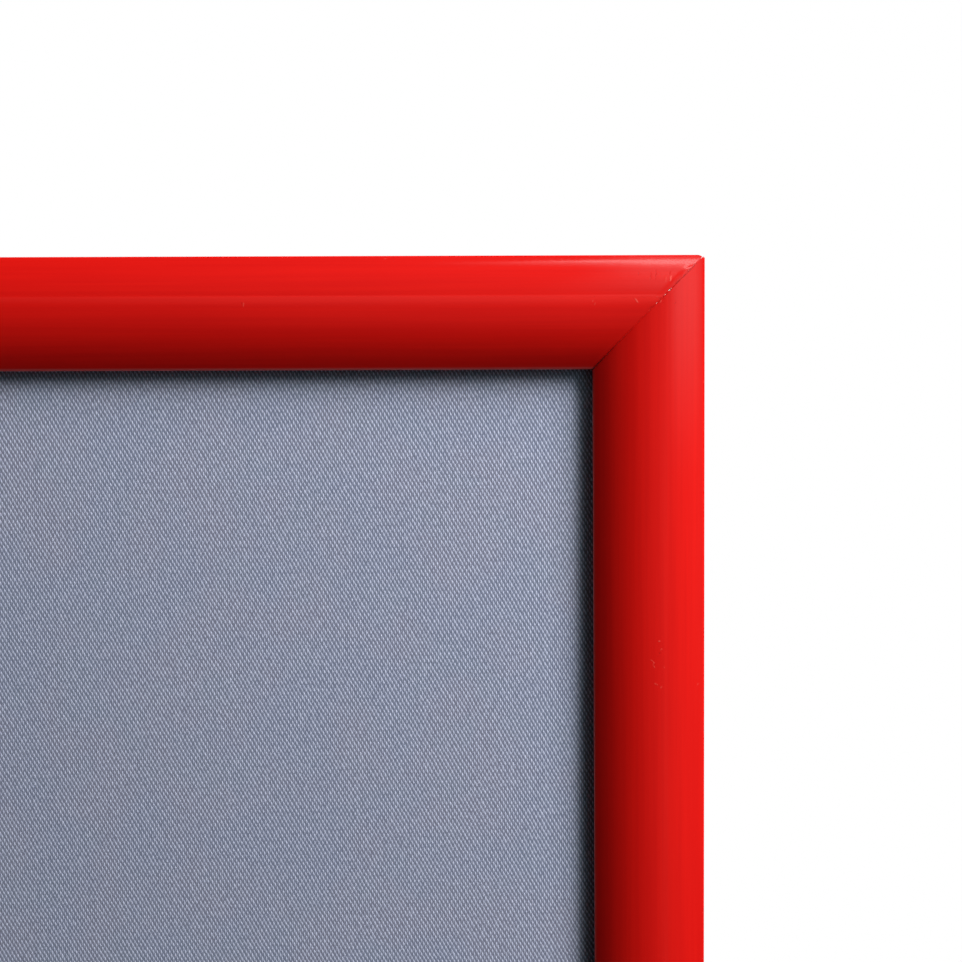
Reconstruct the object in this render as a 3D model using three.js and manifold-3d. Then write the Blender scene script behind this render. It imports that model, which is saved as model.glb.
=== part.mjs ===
// Wall poster frame with four hinged snap-open rails (A3 poster, 25 mm profile).
// Millimetres. X runs right as seen from the front, Y runs into the wall, Z is up.
// The origin is the centre of the frame's back plane, where it meets the wall.
//
// Every rail is a mitred length of one of two sections. A section is drawn in
// (u, v): u runs inwards from the frame's outer edge, v runs from the wall to
// the viewer. Its third axis, s, runs along the rail.

import * as THREE from 'three';
import { mergeVertices } from 'three/addons/utils/BufferGeometryUtils.js';
import Module from 'manifold-3d';

// ---- driving dimensions ----------------------------------------------------

const SHEET_W = 297; // poster, back panel and cover sheet: A3
const SHEET_H = 420;
const EDGE_TO_SHEET = 16; // outer edge of the frame to the sheet's edge
const OUTER_W = SHEET_W + 2 * EDGE_TO_SHEET; // 329
const OUTER_H = SHEET_H + 2 * EDGE_TO_SHEET; // 452

const MITRE_GAP = 0.3; // between two mitred ends, square to the cut
const END_CUT = (MITRE_GAP / 2) * Math.SQRT2; // the same, along the rail

// Front rail.
const PROFILE_W = 25;
const PROFILE_H = 12;
const WALL = 1.2;
const FACE_R = 29; // the crowned face
const FACE_PEAK_U = 7; // where the face stands highest
const CORNER_R = 0.5; // outer edge of the face
const NOSE_R = 0.6; // rounded inner edge of the face
const SKIRT_V = 7.0; // lower edge of the outer wall
const PRESS_U0 = 22.4; // the rib that presses on the cover sheet
const PRESS_U1 = 23.6;
const PRESS_V = 3.1;
const PRESS_CHAMFER = 0.2;

// Hinge: a round bead on the base rail inside a C-shaped socket on the front rail.
const HINGE_U = 2.2;
const HINGE_V = 4.5;
const BEAD_R = 1.3;
const SOCKET_R = 1.5;
const SOCKET_OUTER_R = 2.7;
const SOCKET_FROM = -64; // degrees, the end with the spring catch
const SOCKET_TO = 123;
const CATCH_R = 3.2; // a nib that keeps the spring on the socket
const CATCH_TO = -58;

// Base rail.
const FLOOR_U0 = 0.3;
const FLOOR_U1 = 23.8;
const FLOOR_T = 1.0;
const NECK_FROM = -74; // degrees, where the neck meets the bead
const NECK_TO = 238;
const CHANNEL_U0 = 6.2; // between the walls of the corner key's channel
const CHANNEL_U1 = 12.6;
const HOOK_T = 0.6;
const HOOK_LIP = 0.4;
const HOOK_UNDER_V = 2.5;
const HOOK_TOP_V = 3.05;
const STOP_U0 = 14.9; // the rib that the sheets stop at, and the spring's seat
const STOP_U1 = 15.7;
const STOP_V = 3.4;
const STOP_LIP = 0.35;
const STOP_LIP_V = 2.9;

// Wall screw holes, through the base rail's floor.
const HOLE_R = 2.0;
const HOLE_HEAD_R = 4.0; // the channel's hooks are milled away round the head
const HOLE_U = 9.4;
const HOLE_FROM_END_SHORT = 100;
const HOLE_FROM_END_LONG = 110;

// Corner keys and their set screws.
const KEY_U0 = 6.45;
const KEY_U1 = 12.35;
const KEY_V0 = 1.15;
const KEY_V1 = 2.35;
const KEY_LEG = 38;
const KEY_HOLE_R = 1.45;
const KEY_SCREW_AT = 27; // along the leg, from the frame's outer corner
const SCREW_R = 1.2;
const SCREW_V0 = 1.12;
const SCREW_V1 = 3.3;
const SCREW_HEX = 1.3; // across flats
const SCREW_HEX_DEPTH = 1.2;
const SCREW_CHAMFER = 0.2;

// Leaf springs.
const SPRING_T = 0.4;
const SPRING_W = 14; // along the rail
const SPRING_HALF_ANGLE = 62; // degrees, at each end of the bow
const SPRING_HINGE_END = [4.4, 2.2];
const SPRING_SEAT_END = [14.5, 2.0];
const SPRING_FROM_END = 70;

// Sheets.
const PANEL_V0 = 1.1;
const PANEL_V1 = 2.1;
const COVER_V0 = 2.35;
const COVER_V1 = 2.85;
const SHEET_CORNER_R = 1.5;

// ---- colours ---------------------------------------------------------------

const finish = (hex, roughness, metalness, opacity = 1) =>
  new THREE.MeshStandardMaterial({
    color: hex,
    roughness,
    metalness,
    opacity,
    transparent: opacity < 1,
  });
const redCoat = () => finish(0xd81f1a, 0.38, 0.0);
const zincSteel = () => finish(0xb9bcc0, 0.35, 1.0);
const springSteel = () => finish(0x8f949c, 0.28, 1.0);
const blackSteel = () => finish(0x26272a, 0.45, 0.9);
const greyPanel = () => finish(0x9094a3, 0.6, 0.0);
const clearSheet = () => finish(0xf2f5f8, 0.3, 0.0, 0.2);

// ---- small helpers ---------------------------------------------------------

const wasm = await Module();
wasm.setup();

const rad = (degrees) => (degrees * Math.PI) / 180;
const deg = (radians) => (radians * 180) / Math.PI;

// Points on an arc, both ends included.
function arc(cu, cv, r, from, to, steps) {
  const clockwise = to < from;
  const curve = new THREE.EllipseCurve(cu, cv, r, r, rad(from), rad(to), clockwise);
  return curve.getPoints(steps).map((p) => [p.x, p.y]);
}

const shapeOf = (points) => new THREE.Shape(points.map(([x, y]) => new THREE.Vector2(x, y)));

function toSolid(geometry) {
  const bare = geometry.clone();
  bare.deleteAttribute('normal');
  bare.deleteAttribute('uv');
  const merged = mergeVertices(bare, 1e-4);
  return new wasm.Manifold(
    new wasm.Mesh({
      numProp: 3,
      vertProperties: Float32Array.from(merged.attributes.position.array),
      triVerts: Uint32Array.from(merged.index.array),
    })
  );
}

function fromSolid(solid) {
  const mesh = solid.getMesh();
  const geometry = new THREE.BufferGeometry();
  geometry.setAttribute('position', new THREE.BufferAttribute(Float32Array.from(mesh.vertProperties), 3));
  geometry.setIndex(new THREE.BufferAttribute(Uint32Array.from(mesh.triVerts), 1));
  geometry.computeVertexNormals();
  return geometry;
}

// A cylinder along v, from v0 to v1, in a rail's own frame.
function post(u, s, r, v0, v1, sides, turn = 0) {
  const cylinder = new THREE.CylinderGeometry(r, r, v1 - v0, sides);
  cylinder.rotateY(turn);
  cylinder.translate(u, (v0 + v1) / 2, s);
  return cylinder;
}

// ---- the two rail sections -------------------------------------------------

function frontSection() {
  const faceV = PROFILE_H - FACE_R; // centre of the crowned face
  const cornerV = faceV + Math.sqrt((FACE_R - CORNER_R) ** 2 - (CORNER_R - FACE_PEAK_U) ** 2);
  const cornerAngle = deg(Math.atan2(cornerV - faceV, CORNER_R - FACE_PEAK_U));
  const noseU = PROFILE_W - NOSE_R;
  const noseV = faceV + Math.sqrt((FACE_R - NOSE_R) ** 2 - (noseU - FACE_PEAK_U) ** 2);
  const noseAngle = deg(Math.atan2(noseV - faceV, noseU - FACE_PEAK_U));
  const innerR = FACE_R - WALL;
  const innerFrom = deg(Math.acos((WALL - FACE_PEAK_U) / innerR));
  const innerTo = deg(Math.acos((PRESS_U0 - FACE_PEAK_U) / innerR));
  const socketTop = deg(Math.acos((WALL - HINGE_U) / SOCKET_OUTER_R));
  const underNose = noseV - NOSE_R;
  return [
    ...arc(noseU, noseV, NOSE_R, -90, noseAngle, 5),
    ...arc(FACE_PEAK_U, faceV, FACE_R, noseAngle, cornerAngle, 12).slice(1),
    ...arc(CORNER_R, cornerV, CORNER_R, cornerAngle, 180, 4).slice(1),
    [0, SKIRT_V],
    ...arc(HINGE_U, HINGE_V, SOCKET_OUTER_R, SOCKET_TO, SOCKET_TO, 1).slice(1),
    ...arc(HINGE_U, HINGE_V, SOCKET_R, SOCKET_TO, SOCKET_FROM, 12),
    ...arc(HINGE_U, HINGE_V, CATCH_R, SOCKET_FROM, CATCH_TO, 1),
    ...arc(HINGE_U, HINGE_V, SOCKET_OUTER_R, CATCH_TO, socketTop, 10),
    ...arc(FACE_PEAK_U, faceV, innerR, innerFrom, innerTo, 9),
    [PRESS_U0, PRESS_V + PRESS_CHAMFER],
    [PRESS_U0 + PRESS_CHAMFER, PRESS_V],
    [PRESS_U1 - PRESS_CHAMFER, PRESS_V],
    [PRESS_U1, PRESS_V + PRESS_CHAMFER],
    [PRESS_U1, underNose],
  ];
}

function baseSection() {
  return [
    [FLOOR_U0, 0],
    [FLOOR_U1, 0],
    [FLOOR_U1, FLOOR_T],
    [STOP_U1, FLOOR_T],
    [STOP_U1, STOP_V],
    [STOP_U0 - STOP_LIP, STOP_V],
    [STOP_U0 - STOP_LIP, STOP_LIP_V],
    [STOP_U0, STOP_LIP_V],
    [STOP_U0, FLOOR_T],
    [CHANNEL_U1 + HOOK_T, FLOOR_T],
    [CHANNEL_U1 + HOOK_T, HOOK_TOP_V],
    [CHANNEL_U1 - HOOK_LIP, HOOK_TOP_V],
    [CHANNEL_U1 - HOOK_LIP, HOOK_UNDER_V],
    [CHANNEL_U1, HOOK_UNDER_V],
    [CHANNEL_U1, FLOOR_T],
    [CHANNEL_U0, FLOOR_T],
    [CHANNEL_U0, HOOK_UNDER_V],
    [CHANNEL_U0 + HOOK_LIP, HOOK_UNDER_V],
    [CHANNEL_U0 + HOOK_LIP, HOOK_TOP_V],
    [CHANNEL_U0 - HOOK_T, HOOK_TOP_V],
    [CHANNEL_U0 - HOOK_T, FLOOR_T],
    [HINGE_U + BEAD_R * Math.cos(rad(NECK_FROM)), FLOOR_T],
    ...arc(HINGE_U, HINGE_V, BEAD_R, NECK_FROM, NECK_TO, 18),
    [HINGE_U + BEAD_R * Math.cos(rad(NECK_TO)), FLOOR_T],
    [FLOOR_U0, FLOOR_T],
  ];
}

// A rail: the section drawn out along s, both ends mitred at 45 degrees.
// relief(u, v) shortens single edges of the section by a little more.
function mitredRail(section, length, relief) {
  const geometry = new THREE.ExtrudeGeometry(shapeOf(section), { depth: 1, bevelEnabled: false, steps: 1 });
  const p = geometry.attributes.position;
  for (let i = 0; i < p.count; i++) {
    const end = p.getZ(i) > 0.5 ? 1 : -1;
    p.setZ(i, end * (length / 2 - p.getX(i) - END_CUT - relief(p.getX(i), p.getY(i))));
  }
  return geometry;
}

// The lower lip of the socket swings inwards as the rail opens, so its ends are
// cut back by as much as it swings, and it clears the next rail at the mitre.
function socketRelief(u, v) {
  if (v >= HINGE_V || u > HINGE_U + 6) return 0;
  return Math.max(0, Math.hypot(u - HINGE_U, v - HINGE_V) - (u - HINGE_U));
}

const frontRail = (length) => fromSolid(toSolid(mitredRail(frontSection(), length, socketRelief)));

function baseRail(length, holeFromEnd) {
  let solid = toSolid(mitredRail(baseSection(), length, () => 0));
  for (const end of [-1, 1]) {
    const s = end * (length / 2 - holeFromEnd);
    solid = solid.subtract(toSolid(post(HOLE_U, s, HOLE_R, -1, FLOOR_T + 1, 20)));
    solid = solid.subtract(toSolid(post(HOLE_U, s, HOLE_HEAD_R, FLOOR_T, HOOK_TOP_V + 1, 24)));
  }
  return fromSolid(solid);
}

// ---- small pieces ----------------------------------------------------------

// A bowed strip of spring steel between the base rail's stop rib and the catch
// on the front rail's socket. Its bow stands up into the hollow front rail.
function leafSpring() {
  const [u0, v0] = SPRING_HINGE_END;
  const [u1, v1] = SPRING_SEAT_END;
  const half = Math.hypot(u1 - u0, v1 - v0) / 2;
  const r = half / Math.sin(rad(SPRING_HALF_ANGLE));
  const tilt = Math.atan2(v1 - v0, u1 - u0);
  const drop = r * Math.cos(rad(SPRING_HALF_ANGLE));
  const cu = (u0 + u1) / 2 + drop * Math.sin(tilt);
  const cv = (v0 + v1) / 2 - drop * Math.cos(tilt);
  const from = 90 + deg(tilt) - SPRING_HALF_ANGLE;
  const to = 90 + deg(tilt) + SPRING_HALF_ANGLE;
  const outline = [
    ...arc(cu, cv, r + SPRING_T / 2, from, to, 12),
    ...arc(cu, cv, r - SPRING_T / 2, to, from, 12),
  ];
  const geometry = new THREE.ExtrudeGeometry(shapeOf(outline), { depth: SPRING_W, bevelEnabled: false, steps: 1 });
  geometry.translate(0, 0, -SPRING_W / 2);
  return fromSolid(toSolid(geometry));
}

// An L-shaped plate, drawn from the frame's outer corner with its legs along +x
// and +y, and drawn out along z.
function cornerKey() {
  const a = KEY_U0;
  const b = KEY_U1;
  const c = KEY_U0 + KEY_LEG;
  const chamfer = 1.2;
  const plate = new THREE.ExtrudeGeometry(
    shapeOf([
      [a + chamfer, a],
      [c - chamfer, a],
      [c, a + chamfer],
      [c, b - chamfer],
      [c - chamfer, b],
      [b, b],
      [b, c - chamfer],
      [b - chamfer, c],
      [a + chamfer, c],
      [a, c - chamfer],
      [a, a + chamfer],
    ]),
    { depth: KEY_V1 - KEY_V0, bevelEnabled: false, steps: 1 }
  );
  plate.translate(0, 0, KEY_V0);
  let solid = toSolid(plate);
  for (const [x, y] of [
    [KEY_SCREW_AT, HOLE_U],
    [HOLE_U, KEY_SCREW_AT],
  ]) {
    const drill = new THREE.CylinderGeometry(KEY_HOLE_R, KEY_HOLE_R, 4, 20);
    drill.rotateX(Math.PI / 2);
    drill.translate(x, y, (KEY_V0 + KEY_V1) / 2);
    solid = solid.subtract(toSolid(drill));
  }
  return fromSolid(solid);
}

// A headless set screw with a hexagon socket, along z.
function setScrew() {
  const body = new THREE.LatheGeometry(
    [
      [0, SCREW_V0],
      [SCREW_R - SCREW_CHAMFER, SCREW_V0],
      [SCREW_R, SCREW_V0 + SCREW_CHAMFER],
      [SCREW_R, SCREW_V1 - SCREW_CHAMFER],
      [SCREW_R - SCREW_CHAMFER, SCREW_V1],
      [0, SCREW_V1],
    ].map(([x, y]) => new THREE.Vector2(x, y)),
    18
  );
  const hex = post(0, 0, SCREW_HEX / Math.sqrt(3), SCREW_V1 - SCREW_HEX_DEPTH, SCREW_V1 + 1, 6);
  const solid = toSolid(body).subtract(toSolid(hex));
  const geometry = fromSolid(solid);
  geometry.rotateX(Math.PI / 2); // from y up to z up
  return geometry;
}

// A flat rectangular sheet with slightly rounded corners, between two heights
// from the wall.
function sheet(v0, v1) {
  const w = SHEET_W / 2 - SHEET_CORNER_R;
  const h = SHEET_H / 2 - SHEET_CORNER_R;
  const outline = [
    ...arc(w, h, SHEET_CORNER_R, 0, 90, 4),
    ...arc(-w, h, SHEET_CORNER_R, 90, 180, 4),
    ...arc(-w, -h, SHEET_CORNER_R, 180, 270, 4),
    ...arc(w, -h, SHEET_CORNER_R, 270, 360, 4),
  ];
  const geometry = new THREE.ExtrudeGeometry(shapeOf(outline), { depth: v1 - v0, bevelEnabled: false, steps: 1 });
  geometry.translate(0, 0, v0);
  geometry.rotateX(Math.PI / 2); // drawn in x, y and out along z; now x, z and out along -y
  return fromSolid(toSolid(geometry));
}

// ---- assembly --------------------------------------------------------------

const frame = new THREE.Group();

function add(parent, name, geometry, material) {
  const mesh = new THREE.Mesh(geometry, material);
  mesh.name = name;
  parent.add(mesh);
  return mesh;
}

// A side's group has +x inwards (u), +y away from the wall (v) and +z along the
// rail (s). The right-hand side is drawn, and turned about Y for the others.
const SIDES = [
  { name: 'right', turn: 0, reach: OUTER_W / 2, length: OUTER_H, hole: HOLE_FROM_END_LONG, ends: ['lower', 'upper'] },
  { name: 'top', turn: -90, reach: OUTER_H / 2, length: OUTER_W, hole: HOLE_FROM_END_SHORT, ends: ['right', 'left'] },
  { name: 'left', turn: 180, reach: OUTER_W / 2, length: OUTER_H, hole: HOLE_FROM_END_LONG, ends: ['upper', 'lower'] },
  { name: 'bottom', turn: 90, reach: OUTER_H / 2, length: OUTER_W, hole: HOLE_FROM_END_SHORT, ends: ['left', 'right'] },
];

for (const side of SIDES) {
  const turned = new THREE.Group();
  turned.rotation.y = rad(side.turn);
  const placed = new THREE.Group();
  placed.position.x = side.reach;
  placed.rotation.z = Math.PI;
  turned.add(placed);
  frame.add(turned);

  add(placed, `base_rail_${side.name}`, baseRail(side.length, side.hole), redCoat());
  add(placed, `front_rail_${side.name}`, frontRail(side.length), redCoat());
  side.ends.forEach((end, i) => {
    const spring = add(placed, `leaf_spring_${side.name}_${end}`, leafSpring(), springSteel());
    spring.position.z = (i ? 1 : -1) * (side.length / 2 - SPRING_FROM_END);
  });
}

// Corner keys: the corner group has its legs along +x and +y of the drawn plate.
// In the frame, the plate's z is away from the wall, which is -Y.
const CORNERS = [
  { name: 'top_right', x: 1, z: 1, spin: 180 },
  { name: 'top_left', x: -1, z: 1, spin: 270 },
  { name: 'bottom_left', x: -1, z: -1, spin: 0 },
  { name: 'bottom_right', x: 1, z: -1, spin: 90 },
];

for (const corner of CORNERS) {
  const upright = new THREE.Group();
  upright.position.set((corner.x * OUTER_W) / 2, 0, (corner.z * OUTER_H) / 2);
  upright.rotation.x = Math.PI / 2; // the plate's y becomes Z, its z becomes -Y
  const spun = new THREE.Group();
  spun.rotation.z = rad(corner.spin);
  upright.add(spun);
  frame.add(upright);

  add(spun, `corner_key_${corner.name}`, cornerKey(), zincSteel());
  // Each leg's screw is named after the rail that the leg lies in.
  const [vertical, horizontal] = corner.name.split('_');
  const legs = corner.x * corner.z > 0 ? [horizontalLeg(vertical), verticalLeg(horizontal)] : [verticalLeg(horizontal), horizontalLeg(vertical)];
  legs.forEach((leg, i) => {
    const screw = add(spun, `key_screw_${corner.name}_${leg}`, setScrew(), blackSteel());
    if (i === 0) screw.position.set(KEY_SCREW_AT, HOLE_U, 0);
    else screw.position.set(HOLE_U, KEY_SCREW_AT, 0);
  });
}

function horizontalLeg(vertical) {
  return vertical === 'top' ? 'on_top_rail' : 'on_bottom_rail';
}

function verticalLeg(horizontal) {
  return horizontal === 'left' ? 'on_left_rail' : 'on_right_rail';
}

add(frame, 'back_panel', sheet(PANEL_V0, PANEL_V1), greyPanel());
add(frame, 'cover_sheet', sheet(COVER_V0, COVER_V1), clearSheet());

export default frame;
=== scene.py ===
"""Looks of the wall poster frame: finely modelled rails, springs, keys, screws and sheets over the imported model.

Metres, in the row frame: X right as seen from the front, Y into the wall, Z up.
A rail's section is drawn in (u, v) millimetres: u inwards from the frame's outer
edge, v from the wall to the viewer. s runs along the rail.
"""

import math

import bmesh
import bpy
from mathutils import Matrix, Vector


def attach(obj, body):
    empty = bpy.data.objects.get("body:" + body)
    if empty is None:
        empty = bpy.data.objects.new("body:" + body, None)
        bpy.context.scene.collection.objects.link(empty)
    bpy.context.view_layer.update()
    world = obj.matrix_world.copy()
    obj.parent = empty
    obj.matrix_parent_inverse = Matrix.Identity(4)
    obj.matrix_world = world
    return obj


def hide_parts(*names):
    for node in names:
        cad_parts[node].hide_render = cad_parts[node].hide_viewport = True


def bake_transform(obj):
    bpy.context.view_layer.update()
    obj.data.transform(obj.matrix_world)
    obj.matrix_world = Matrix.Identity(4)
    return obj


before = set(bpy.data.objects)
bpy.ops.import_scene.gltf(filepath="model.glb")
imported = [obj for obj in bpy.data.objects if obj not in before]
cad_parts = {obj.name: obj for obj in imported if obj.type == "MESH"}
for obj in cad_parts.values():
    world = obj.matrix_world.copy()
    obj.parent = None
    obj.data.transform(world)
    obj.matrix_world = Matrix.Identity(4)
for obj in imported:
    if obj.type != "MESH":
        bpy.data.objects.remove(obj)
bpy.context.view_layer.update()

# ---- sizes, in millimetres, as in the CAD model ------------------------------

W, H = 329.0, 452.0
SHEET_W, SHEET_H = 297.0, 420.0
PROFILE_W, PROFILE_H, WALL = 25.0, 12.0, 1.2
FACE_R, FACE_PEAK_U, CORNER_R, NOSE_R = 29.0, 7.0, 0.5, 0.6
SKIRT_V = 7.0
PRESS_U0, PRESS_U1, PRESS_V = 22.4, 23.6, 3.1
HINGE_U, HINGE_V = 2.2, 4.5
BEAD_R, SOCKET_R, SOCKET_OUTER_R, CATCH_R = 1.3, 1.5, 2.7, 3.2
SOCKET_FROM, SOCKET_TO, CATCH_TO = -64.0, 123.0, -58.0
FLOOR_U0, FLOOR_U1, FLOOR_T = 0.3, 23.8, 1.0
NECK_FROM, NECK_TO = -74.0, 238.0
CHANNEL_U0, CHANNEL_U1, HOOK_T, HOOK_LIP = 6.2, 12.6, 0.6, 0.4
HOOK_UNDER_V, HOOK_TOP_V = 2.5, 3.05
STOP_U0, STOP_U1, STOP_V, STOP_LIP, STOP_LIP_V = 14.9, 15.7, 3.4, 0.35, 2.9
HOLE_R, HOLE_HEAD_R, HOLE_U = 2.0, 4.0, 9.4
HOLE_FROM_END = {"right": 110.0, "left": 110.0, "top": 100.0, "bottom": 100.0}
KEY_U0, KEY_U1, KEY_V0, KEY_V1, KEY_LEG = 6.45, 12.35, 1.15, 2.35, 38.0
KEY_HOLE_R, KEY_SCREW_AT = 1.45, 27.0
SCREW_R, SCREW_V0, SCREW_V1, SCREW_HEX, SCREW_HEX_DEPTH = 1.2, 1.12, 3.3, 1.3, 1.2
SPRING_T, SPRING_W, SPRING_HALF_ANGLE = 0.4, 14.0, 62.0
SPRING_HINGE_END, SPRING_SEAT_END, SPRING_FROM_END = (4.4, 2.2), (14.5, 2.0), 70.0
PANEL_V0, PANEL_V1, COVER_V0, COVER_V1 = 1.1, 2.1, 2.35, 2.85
SHEET_CORNER_R = 1.5

MM = 0.001
SIDES = ("top", "right", "bottom", "left")


def place(side, u, v, s):
    """A point of a rail's own frame, in millimetres, as a point of the row frame, in metres."""
    if side == "right":
        p = (W / 2 - u, -v, s)
    elif side == "left":
        p = (-W / 2 + u, -v, -s)
    elif side == "top":
        p = (-s, -v, H / 2 - u)
    else:
        p = (s, -v, -H / 2 + u)
    return (p[0] * MM, p[1] * MM, p[2] * MM)


def rail_length(side):
    return H if side in ("right", "left") else W


# ---- camera ------------------------------------------------------------------

IMAGE = 962.0
CAM_AT = (0.14112, -0.320, 0.19106)
CAM_YAW, CAM_PITCH, CAM_ROLL = -0.061, -3.625, 0.199  # degrees
CAM_F = 1385.6  # focal length in pixels of a 962-pixel picture
CAM_C = (601.4, 501.3)  # where the lens's axis meets the picture


def make_camera():
    y, p, r = (math.radians(a) for a in (CAM_YAW, CAM_PITCH, CAM_ROLL))
    turn = Matrix.Rotation(y, 3, "Z") @ Matrix.Rotation(p, 3, "X") @ Matrix.Rotation(r, 3, "Y")
    right, ahead, up = turn.col[0], turn.col[1], turn.col[2]
    data = bpy.data.cameras.new("camera")
    data.sensor_width = 36.0
    data.lens = CAM_F / IMAGE * 36.0
    data.shift_x = -(CAM_C[0] - IMAGE / 2) / IMAGE
    data.shift_y = (CAM_C[1] - IMAGE / 2) / IMAGE
    data.clip_start = 0.01
    data.clip_end = 50.0
    cam = bpy.data.objects.new("camera", data)
    bpy.context.scene.collection.objects.link(cam)
    m = Matrix((right, up, -ahead)).transposed().to_4x4()
    m.translation = Vector(CAM_AT)
    cam.matrix_world = m
    bpy.context.scene.camera = cam


make_camera()

# ---- mesh helpers ------------------------------------------------------------


def arc(cu, cv, r, start, end, steps):
    """Points on an arc, both ends included; angles in degrees."""
    out = []
    for i in range(steps + 1):
        a = math.radians(start + (end - start) * i / steps)
        out.append((cu + r * math.cos(a), cv + r * math.sin(a)))
    return out


def tidy(points, least=1e-4):
    """The closed outline without points that repeat."""
    out = []
    for p in points:
        if not out or math.dist(p, out[-1]) > least:
            out.append(p)
    if math.dist(out[0], out[-1]) <= least:
        out.pop()
    return out


def soften(points, radius, sharp=25.0, steps=3):
    """The closed outline with each corner sharper than that turned into a small arc."""
    out, n = [], len(points)
    for i in range(n):
        a, b, c = (Vector(points[(i + k) % n]) for k in (-1, 0, 1))
        d0, d1 = (a - b), (c - b)
        l0, l1 = d0.length, d1.length
        d0, d1 = d0 / l0, d1 / l1
        turn = 180 - math.degrees(math.acos(max(-1, min(1, d0.dot(d1)))))
        if turn < sharp:
            out.append(tuple(b))
            continue
        half = math.radians(180 - turn) / 2
        cut = min(radius / math.tan(half), 0.42 * l0, 0.42 * l1)
        r = cut * math.tan(half)
        middle = b + (d0 + d1).normalized() * (r / math.sin(half))
        p0, p1 = b + d0 * cut, b + d1 * cut
        a0 = math.atan2(p0.y - middle.y, p0.x - middle.x)
        a1 = math.atan2(p1.y - middle.y, p1.x - middle.x)
        step = (a1 - a0 + math.pi) % (2 * math.pi) - math.pi
        for k in range(steps + 1):
            t = a0 + step * k / steps
            out.append((middle.x + r * math.cos(t), middle.y + r * math.sin(t)))
    return tidy(out)


def shrink(points, by):
    """The closed counter-clockwise outline moved inwards."""
    out, n = [], len(points)
    for i in range(n):
        a, b, c = (Vector(points[(i + k) % n]) for k in (-1, 0, 1))
        t0, t1 = (b - a).normalized(), (c - b).normalized()
        n0, n1 = Vector((-t0.y, t0.x)), Vector((-t1.y, t1.x))
        m = n0 + n1
        if m.length < 1e-6:
            m = n0
        m.normalize()
        scale = min(1 / max(m.dot(n0), 0.3), 2.0)
        out.append(tuple(b + m * by * scale))
    return out


def new_piece(name, verts, faces, materials, slots=None, sharp=35.0):
    mesh = bpy.data.meshes.new(name)
    mesh.from_pydata([tuple(v) for v in verts], [], faces)
    for m in materials:
        mesh.materials.append(m)
    if slots:
        mesh.polygons.foreach_set("material_index", slots)
    finish_mesh(mesh, sharp)
    obj = bpy.data.objects.new(name, mesh)
    bpy.context.scene.collection.objects.link(obj)
    return obj


def finish_mesh(mesh, sharp=35.0):
    bm = bmesh.new()
    bm.from_mesh(mesh)
    bmesh.ops.remove_doubles(bm, verts=bm.verts, dist=1e-8)
    bmesh.ops.recalc_face_normals(bm, faces=bm.faces)
    for f in bm.faces:
        f.smooth = True
    bm.to_mesh(mesh)
    bm.free()
    mesh.set_sharp_from_angle(angle=math.radians(sharp))
    mesh.update()


def swept(rings):
    """Faces between closed rings of equal size, and the two end caps: (faces, which are caps)."""
    n = len(rings[0])
    faces, cap = [], []
    for k in range(len(rings) - 1):
        for i in range(n):
            j = (i + 1) % n
            faces.append((k * n + i, k * n + j, (k + 1) * n + j, (k + 1) * n + i))
            cap.append(0)
    faces.append(tuple(reversed(range(n))))
    faces.append(tuple(range((len(rings) - 1) * n, len(rings) * n)))
    cap += [1, 1]
    return faces, cap


def boolean_cut(obj, cutters):
    """Cuts the cutters out of obj for good, and removes them."""
    for c in cutters:
        mod = obj.modifiers.new("cut", "BOOLEAN")
        mod.operation = "DIFFERENCE"
        mod.solver = "EXACT"
        mod.object = c
    bpy.context.view_layer.update()
    dg = bpy.context.evaluated_depsgraph_get()
    mesh = bpy.data.meshes.new_from_object(obj.evaluated_get(dg))
    obj.modifiers.clear()
    old = obj.data
    obj.data = mesh
    bpy.data.meshes.remove(old)
    for c in cutters:
        m = c.data
        bpy.data.objects.remove(c)
        bpy.data.meshes.remove(m)


# ---- material helpers --------------------------------------------------------


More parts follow.
